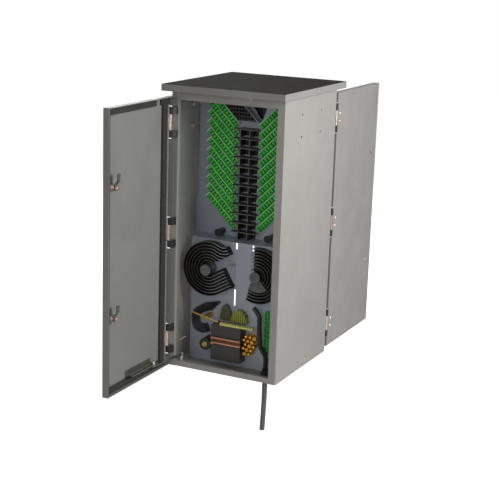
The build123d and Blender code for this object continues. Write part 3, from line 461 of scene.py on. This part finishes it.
def hub_side(tree):
    """The hubs' shafts, between their front faces and the sector by the panel."""
    behind_face = higher_than(tree, "Y", hub_front + 0.0012, 0.0006)
    before_sector = lower_than(tree, "Y", sector_front - 0.0010, 0.0005)
    return compute(tree, "MULTIPLY", behind_face, before_sector)


def bar_below_top(tree):
    """All of the copper bar below its bright upper edge."""
    return lower_than(tree, "Z", bar_middle + bar_core_half, 0.001)


def bar_bottom(tree):
    """The copper bar's bright lower edge."""
    return lower_than(tree, "Z", bar_middle - bar_core_half - 0.001, 0.001)


# Finishes of sheet and metal
paint = coated("painted_sheet", wall_colour, 0.58, specular=0.35)
door_paint = coated("door_inner_sheet", door_inside_colour, 0.5)
door_paint = recolour(door_paint, outer_skin, wall_colour)
rear_door_paint = coated("rear_door_sheet", door_inside_colour, 0.58, specular=0.35)
rear_door_paint = recolour(rear_door_paint, outer_skin, rear_door_colour)
roof_paint = coated("roof_sheet", (0.30, 0.296, 0.28), 0.75, wear=0.15, specular=0.03)
# The roof's top is darkened: painted shade.
roof_paint = recolour(roof_paint, sky_facing_painted_shade, (0.054, 0.052, 0.049))
roof_paint.node_tree.nodes["Principled BSDF"].inputs["IOR"].default_value = 1.15
inner_sheet = coated("bare_sheet", (0.50, 0.53, 0.60), 0.42, wear=0.2, metallic=0.15)
# The inner sheet darkens towards the left: painted shade.
inner_sheet = recolour(inner_sheet, left_side_painted_shade, (0.20, 0.22, 0.28))
zinc = brushed("zinc_steel", (0.62, 0.62, 0.62), 0.33)
olive_zinc = brushed("dark_zinc", (0.24, 0.25, 0.21), 0.42)
bright_metal = brushed("bright_metal", (0.86, 0.72, 0.66), 0.28)
black_metal = coated("black_metal", (0.009, 0.009, 0.009), 0.36, wear=0.9)
copper = brushed("copper", copper_colour, 0.36, stretch=(1, 30, 30))
copper = recolour(copper, bar_below_top, (0.22, 0.085, 0.05))
copper = recolour(copper, bar_bottom, copper_colour)
lug_brass = brushed("lug_brass", (0.78, 0.40, 0.04), 0.34)
brass = brushed("brass", (0.62, 0.40, 0.12), 0.36, stretch=(1, 30, 30))


def spool_finish(name):
    """Black plastic with paler front rims, made paler still near the middle of the panel: partly wear,
    partly a painted highlight.
    """
    plastic = moulded(name, (0.010, 0.010, 0.010), 0.38, edge_highlight=4.0)
    plastic = recolour(plastic, front_rim(spool_rim, 0.7), rim_colour)
    return recolour(plastic, rim_wear_and_highlight, rim_wear_and_highlight_colour)


def adapter_finish():
    """Green adapters on a paler green flange: the flange is the layer next to the bulkhead."""
    material, tree, shader = new_material("adapter_green", 0.42)
    on_flange = higher_than(tree, "Y", flange_front, 0.0004)
    patches = clouds(tree, 40, 3)
    green = blend(tree, patches, (0.018, 0.42, 0.02), (0.03, 0.55, 0.03))
    pale = blend(tree, patches, (0.33, 0.72, 0.30), (0.42, 0.82, 0.38))
    edges, rounded = edge_mask(tree, 0.0006)
    # Painted highlight: the adapters' edges are made a paler green.
    green = blend(tree, span(tree, edges, 0, 1, 0, 0.6), green, (0.14, 0.62, 0.12))
    link(tree, blend(tree, on_flange, green, pale), shader.inputs["Base Color"])
    relief(tree, shader, noise(tree, 1500, 2), 0.12, 0.0002, rounded)
    return material


# Finishes of plastic and rubber
black_plastic = moulded("black_plastic", (0.012, 0.012, 0.012), 0.42, edge_highlight=5.0)
spool_plastic = spool_finish("spool_plastic")
left_spool_plastic = recolour(spool_finish("left_spool_plastic"), past_the_run, (0.40, 0.42, 0.47))
guide_plastic = moulded("guide_plastic", (0.013, 0.013, 0.013), 0.38, edge_highlight=9.0, highlight_strength=0.8)
guide_plastic = recolour(guide_plastic, front_rim(guide_rim, 0.8), (0.20, 0.20, 0.19))
foam = moulded("foam_rubber", (0.028, 0.028, 0.027), 0.8, edge_highlight=1.5, grain_scale=700)
adapter_green = adapter_finish()
collar_green = moulded("collar_green", (0.012, 0.27, 0.014), 0.4, edge_highlight=3.0, highlight_strength=0.6)
plug_green = moulded("plug_green", (0.05, 0.78, 0.055), 0.4, edge_highlight=1.4)
rail_green = moulded("rail_green", (0.50, 0.96, 0.46), 0.45, edge_highlight=1.1)
pale_plastic = moulded("pale_plastic", (0.80, 0.96, 0.78), 0.45)
# A dark green for the plates in the port mouths: painted shade.
port_shade_plastic = moulded("port_shade_plastic", (0.002, 0.05, 0.003), 0.5, edge_highlight=2.0)
strip_plastic = moulded("strip_plastic", (0.02, 0.42, 0.06), 0.4, edge_highlight=2.2)
strip_collar_green = moulded("strip_collar_green", (0.03, 0.62, 0.08), 0.4, edge_highlight=1.5)
comb_plastic = moulded("comb_plastic", (0.70, 0.72, 0.22), 0.4)
yellow_plastic = moulded("yellow_plastic", (0.36, 0.40, 0.045), 0.4)
yellow_plastic = recolour(yellow_plastic, stripes("X", 120, 0.85), (0.08, 0.10, 0.015))
# The slack cover gets a darkened copy of the fan-out's yellow-green: painted shade.
olive_plastic = moulded("olive_plastic", (0.085, 0.095, 0.04), 0.45)
olive_plastic = recolour(olive_plastic, stripes("X", 210, 0.5), (0.04, 0.046, 0.022))
grey_plastic = moulded("grey_plastic", (0.125, 0.125, 0.12), 0.5)
grey_plastic = recolour(grey_plastic, hub_side, (0.02, 0.02, 0.02))
box_plastic = moulded("box_plastic", (0.052, 0.050, 0.048), 0.45, edge_highlight=2.0)
sleeve_plastic = moulded("sleeve_plastic", (0.022, 0.022, 0.022), 0.42, edge_highlight=2.0)
sleeve_plastic = ribbed(sleeve_plastic, "Z", 210, 0.0016)
jacket = moulded("cable_jacket", (0.018, 0.018, 0.019), 0.4, edge_highlight=2.0, grain_scale=500)
stub_jacket = moulded("stub_jacket", (0.105, 0.103, 0.098), 0.45, edge_highlight=1.6, grain_scale=500)
gland_plastic = moulded("gland_plastic", (0.02, 0.02, 0.02), 0.45, edge_highlight=3.0)

# Which finish each CAD node has: those of the cabinet, and those that both doors have
cabinet_looks = (
    (paint, ("side_panel_left", "side_panel_right", "front_header", "rear_header", "base_plate")),
    (roof_paint, ("roof_cap",)),
    (door_paint, ("front_door",)),
    (rear_door_paint, ("rear_door",)),
    (inner_sheet, ("bulkhead_panel", "spool_panel", "parking_bracket", "splitter_shelf")),
    (zinc, ("hinge_pins", "stay_studs")),
    (bright_metal, ("side_inserts",)),
    (black_metal, ("hinge_blocks",)),
    (guide_plastic, ("jumper_guides",)),
    (black_plastic, ("parking_block", "radius_pegs")),
    (left_spool_plastic, ("spool_left",)),
    (spool_plastic, ("spool_right",)),
    (grey_plastic, ("spool_hubs",)),
    (box_plastic, ("grounding_box",)),
    (gland_plastic, ("clamp_gland", "splice_trays", "cable_entry_gland", "splitter_modules")),
    (sleeve_plastic, ("entry_sleeve",)),
    (adapter_green, ("adapter_rows",)),
    (strip_plastic, ("side_adapter_strip",)),
    (comb_plastic, ("fibre_comb",)),
    (yellow_plastic, ("fanout_cover",)),
    (olive_plastic, ("slack_cover",)),
    (copper, ("ground_bar",)),
    (lug_brass, ("ground_lugs",)),
    (brass, ("clamp_core", "cable_clamp")),
    (jacket, ("cable_loop", "cable_stub")),
)
door_looks = (
    (bright_metal, ("hinge_leaves", "latch_housings", "lower_latch_spindle", "upper_latch_spindle")),
    (olive_zinc, ("lower_latch_cam", "upper_latch_cam", "stay_bracket", "stay_arm")),
    (zinc, ("stay_slider",)),
    (foam, ("door_gasket",)),
)


def dress(name, material):
    data = nodes[name].data
    data.materials.clear()
    data.materials.append(material)


def dress_nodes():
    for material, names in cabinet_looks:
        for name in names:
            dress(name, material)
    for material, names in door_looks:
        for name in names:
            for side in ("front", "rear"):
                dress(f"{side}_{name}", material)


# Mesh forms
class Shape:
    """Vertices and faces of one piece, added form by form."""

    def __init__(self):
        self.vertices = []
        self.faces = []

    def add_face(self, corners, flip=False):
        self.faces.append(corners[::-1] if flip else corners)

    def add_box(self, centre, half, axes):
        """A box with its centre, half sizes and three axes."""
        start = len(self.vertices)
        reach = [axis * size for axis, size in zip(axes, half)]
        for a in (-1, 1):
            for b in (-1, 1):
                for c in (-1, 1):
                    self.vertices.append(centre + reach[0] * a + reach[1] * b + reach[2] * c)
        flip = axes[0].cross(axes[1]).dot(axes[2]) < 0
        quads = ((0, 1, 3, 2), (4, 6, 7, 5), (0, 4, 5, 1), (2, 3, 7, 6), (0, 2, 6, 4), (1, 5, 7, 3))
        for quad in quads:
            self.add_face([start + corner for corner in quad], flip)

    def add_collar(self, centre, outer, inner, depth, axes):
        """A rectangular collar round a recess, standing out along the third axis."""
        start = len(self.vertices)
        for reach, size in ((0, outer), (depth, outer), (depth, inner), (0, inner)):
            for side_x, side_y in ((-1, -1), (1, -1), (1, 1), (-1, 1)):
                corner = axes[0] * size[0] / 2 * side_x + axes[1] * size[1] / 2 * side_y
                self.vertices.append(centre + corner + axes[2] * reach)
        flip = axes[0].cross(axes[1]).dot(axes[2]) < 0
        for ring in range(3):
            near = start + ring * 4
            for corner in range(4):
                following = (corner + 1) % 4
                quad = [near + corner, near + following, near + 4 + following, near + 4 + corner]
                self.add_face(quad, flip)
        self.add_face([start + 12 + corner for corner in range(4)], flip)

    def add_turned(self, centre, axis, profile, sides=24):
        """A turned form: profile lists radius and distance along the axis."""
        axis = Vector(axis).normalized()
        side = axis.orthogonal().normalized()
        other = axis.cross(side)
        start = len(self.vertices)
        for radius, along in profile:
            for corner in range(sides):
                angle = math.tau * corner / sides
                outward = side * math.cos(angle) + other * math.sin(angle)
                self.vertices.append(Vector(centre) + axis * along + outward * radius)
        for step in range(len(profile) - 1):
            near = start + step * sides
            far = near + sides
            for corner in range(sides):
                following = (corner + 1) % sides
                self.add_face([near + corner, near + following, far + following, far + corner])
        last = start + (len(profile) - 1) * sides
        self.add_face([start + corner for corner in range(sides)], flip=True)
        self.add_face([last + corner for corner in range(sides)])

    def add_head(self, centre, axis, radius):
        """A pan head with a round recess in its top."""
        height = screw_head_height
        profile = (
            (radius, 0), (radius, 0.55 * height), (0.84 * radius, height),
            (0.46 * radius, height), (0.40 * radius, 0.5 * height), (0.02 * radius, 0.5 * height),
        )
        self.add_turned(centre, axis, profile)

    def make(self, name, material, body, slot_name):
        data = bpy.data.meshes.new(name)
        data.from_pydata([tuple(vertex) for vertex in self.vertices], [], self.faces)
        data.update()
        piece = bpy.data.objects.new(name, data)
        scene.collection.objects.link(piece)
        data.materials.append(material)
        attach(piece, body)


# Adapters
def row_frames():
    """Centre and axes of each adapter row: along the row, across it, and out of the panel."""
    centre_x = row_inner_corner[0] + slope * (row_length + row_flange_width) / 2
    centre_z = row_inner_corner[1] + slope * (row_length - row_flange_width) / 2
    for side in (-1, 1):
        for row in range(rows_per_side):
            centre = Vector((side * centre_x, adapter_front, centre_z - row * row_rise))
            along = Vector((side * slope, 0, slope))
            across = Vector((-side * slope, 0, slope))
            yield centre, along, across, Vector((0, -1, 0))


def make_adapter_ports():
    """Each adapter's mouth round its dust plug, and the rows' pale rails and end caps."""
    mouths, plugs, rails, end_caps = Shape(), Shape(), Shape(), Shape()
    for centre, along, across, out in row_frames():
        axes = (along, across, out)
        for number in range(adapters_per_row):
            place = centre + along * adapter_pitch * (number - (adapters_per_row - 1) / 2)
            mouths.add_collar(place, mouth_outer, mouth_inner, mouth_depth, axes)
            plugs.add_box(place + out * plug_half[2], plug_half, axes)
        row_end = centre + along * (row_length / 2 + end_cap_overhang)
        end_caps.add_box(row_end - out * end_cap_setback, end_cap_half, axes)
        rails.add_box(centre + across * rail_offset - out * rail_setback, rail_half, axes)
    mouths.make("adapter_mouths", collar_green, "cabinet", "green_plastic")
    plugs.make("adapter_plugs", plug_green, "cabinet", "green_plastic")
    rails.make("row_rails", rail_green, "cabinet", "green_plastic")
    end_caps.make("row_end_caps", pale_plastic, "cabinet", "grey_plastic")


def make_strip_ports():
    """Two ports in each cell of the upright adapter strip, each with a dark plate in its mouth as
    painted shade.
    """
    low, high = (Vector(corner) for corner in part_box("side_adapter_strip"))
    pitch = (high.z - low.z) / strip_cells
    axes = (Vector((0, 0, 1)), Vector((1, 0, 0)), Vector((0, -1, 0)))
    mouths, recess_shades = Shape(), Shape()
    for cell in range(strip_cells):
        for side in (-1, 1):
            x = (low.x + high.x) / 2 + side * strip_port_shift
            place = Vector((x, low.y, low.z + (cell + 0.5) * pitch))
            mouths.add_collar(place, strip_mouth_outer, strip_mouth_inner, strip_mouth_depth, axes)
            recess_shades.add_box(place + axes[2] * strip_shade_half[2], strip_shade_half, axes)
    mouths.make("strip_mouths", strip_collar_green, "cabinet", "green_plastic")
    recess_shades.make("strip_recess_shades", port_shade_plastic, "cabinet", "green_plastic")


def make_splitter_ports():
    """Ports on the splitter modules, on the side that faces the rear door, each with a dark plate in
    its mouth as painted shade.
    """
    low, high = (Vector(corner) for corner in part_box("splitter_modules"))
    module_pitch = (high.x - low.x - splitter_width) / (splitter_modules - 1)
    port_pitch = (high.z - low.z - 2 * splitter_margin) / (splitter_ports - 1)
    axes = (Vector((1, 0, 0)), Vector((0, 0, 1)), Vector((0, 1, 0)))
    mouths, recess_shades = Shape(), Shape()
    for module in range(splitter_modules):
        for port in range(splitter_ports):
            x = low.x + splitter_width / 2 + module * module_pitch
            place = Vector((x, high.y, low.z + splitter_margin + port * port_pitch))
            mouths.add_collar(
                place, splitter_mouth_outer, splitter_mouth_inner, splitter_mouth_depth, axes
            )
            recess_shades.add_box(place + axes[2] * splitter_shade_half[2], splitter_shade_half, axes)
    mouths.make("splitter_mouths", collar_green, "cabinet", "green_plastic")
    recess_shades.make("splitter_recess_shades", port_shade_plastic, "cabinet", "green_plastic")


# Fasteners that are too small for the CAD model
def make_hinge_screws(side, sign):
    heads = Shape()
    for height in hinge_heights:
        for step in (-1, 1):
            z = height + step * hinge_screw_rise
            place = (sign * door_outside, sign * hinge_screw_along, z)
            heads.add_head(place, (sign, 0, 0), hinge_screw_radius)
    heads.make(f"{side}_hinge_screws", bright_metal, f"{side}_door_set", "zinc_steel")


def make_key_studs(side, sign):
    """The three-sided stud that the key turns, in each latch's outer face."""
    for level, height in zip(("lower", "upper"), latch_heights):
        stud = Shape()
        place = (sign * latch_face, sign * latch_along, height)
        stud.add_turned(place, (sign, 0, 0), key_stud_profile, sides=3)
        stud.make(f"{side}_{level}_key_stud", zinc, f"{side}_{level}_latch", "zinc_steel")


def make_bulkhead_screws():
    heads = Shape()
    for x, z in bulkhead_screws:
        heads.add_head((x, bulkhead_front, z), (0, -1, 0), bulkhead_screw_radius)
    heads.make("bulkhead_screws", bright_metal, "cabinet", "zinc_steel")


def make_small_lugs():
    """Small lugs between the large ones, standing on the same plate."""
    lugs = Shape()
    plate_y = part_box("ground_lugs")[1][1]
    for x, z in small_lugs:
        lugs.add_turned((x, plate_y, z), (0, -1, 0), small_lug_profile, sides=20)
    lugs.make("ground_lugs_small", lug_brass, "cabinet", "copper")


def make_wall_rivets():
    """Three short rivets in a line, low on the left wall."""
    rivets = Shape()
    for y in rivet_places:
        rivets.add_turned((rivet_x, y, rivet_height), rivet_axis, rivet_profile, sides=12)
    rivets.make("wall_rivets", bright_metal, "cabinet", "zinc_steel")


# Cables
def new_tube(name, routes, radius, material, roundness=4, fineness=12):
    """One round tube on each route, as a smooth spline."""
    curve = bpy.data.curves.new(name, "CURVE")
    curve.dimensions = "3D"
    curve.bevel_depth = radius
    curve.bevel_resolution = roundness
    curve.resolution_u = fineness
    curve.use_fill_caps = True
    curve.materials.append(material)
    for route in routes:
        spline = curve.splines.new("NURBS")
        spline.points.add(len(route) - 1)
        for point, place in zip(spline.points, route):
            point.co = (*place, 1)
        spline.order_u = 3
        spline.use_endpoint_u = True
    tube = bpy.data.objects.new(name, curve)
    scene.collection.objects.link(tube)
    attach(tube, "cabinet")
    return tube


def make_strands():
    """Thin strands that lie inside the cable loop."""
    routes = []
    for share in strand_shares:
        route = []
        for x, z in loop_route:
            near_x = loop_middle[0] + (x - loop_middle[0]) * share
            near_z = loop_middle[1] + (z - loop_middle[1]) * share
            route.append((near_x, loop_depth, near_z))
        routes.append(route)
    new_tube("loop_strands", routes, strand_radius, jacket)


def make_cable():
    """The feeder cable below the base, seen as far as the photograph shows it."""
    radius = cable_diameter / 2
    cable = new_tube("cable_stub_visual", [cable_route], radius, stub_jacket, roundness=6, fineness=16)
    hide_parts("cable_stub")


# Light and floor
def make_lamp(name, place, aim, size, power):
    data = bpy.data.lights.new(name, "AREA")
    data.shape = "SQUARE"
    data.size = size
    data.energy = power
    light = bpy.data.objects.new(name, data)
    light.location = place
    light.visible_camera = False
    light.rotation_euler = (Vector(aim) - Vector(place)).to_track_quat("-Z", "Y").to_euler()
    scene.collection.objects.link(light)


def make_world():
    """Soft light all round; the camera, metal and glass see it white."""
    world = bpy.data.worlds.new("world")
    scene.world = world
    world.use_nodes = True
    tree = world.node_tree
    background = tree.nodes["Background"]
    background.inputs["Color"].default_value = (1, 1, 1, 1)
    rays = tree.nodes.new("ShaderNodeLightPath")
    seen = compute(tree, "MAXIMUM", rays.outputs["Is Camera Ray"], rays.outputs["Is Glossy Ray"])
    seen = compute(tree, "MAXIMUM", seen, rays.outputs["Is Transmission Ray"])
    link(tree, span(tree, seen, 0, 1, world_light, 1.0), background.inputs["Strength"])


def make_floor():
    """Pale floor that shows white to the camera and keeps a soft shadow."""
    corners = []
    for side_x, side_y in ((-1, -1), (1, -1), (1, 1), (-1, 1)):
        corners.append((side_x * floor_half, side_y * floor_half, floor_level))
    data = bpy.data.meshes.new("floor")
    data.from_pydata(corners, [], [(0, 1, 2, 3)])
    floor = bpy.data.objects.new("floor", data)
    scene.collection.objects.link(floor)
    material, tree, shader = new_material("floor", 0.9, specular=0.1)
    patches = span(tree, noise(tree, 3, 3), 0.3, 0.7)
    link(tree, mottled(tree, patches, floor_colour, 0.025), shader.inputs["Base Color"])
    shader.inputs["Emission Color"].default_value = (1, 1, 1, 1)
    rays = tree.nodes.new("ShaderNodeLightPath")
    glow = span(tree, rays.outputs["Is Camera Ray"], 0, 1, 0.0, floor_glow)
    link(tree, glow, shader.inputs["Emission Strength"])
    data.materials.append(material)


# Making
scene.view_settings.view_transform = "Standard"
place_camera()
make_cable()
dress_nodes()
make_adapter_ports()
make_strip_ports()
make_splitter_ports()
for side_name, side_sign in (("front", -1), ("rear", 1)):
    make_hinge_screws(side_name, side_sign)
    make_key_studs(side_name, side_sign)
make_bulkhead_screws()
make_small_lugs()
make_wall_rivets()
make_strands()
make_world()
for lamp in lamps:
    make_lamp(*lamp)
make_floor()
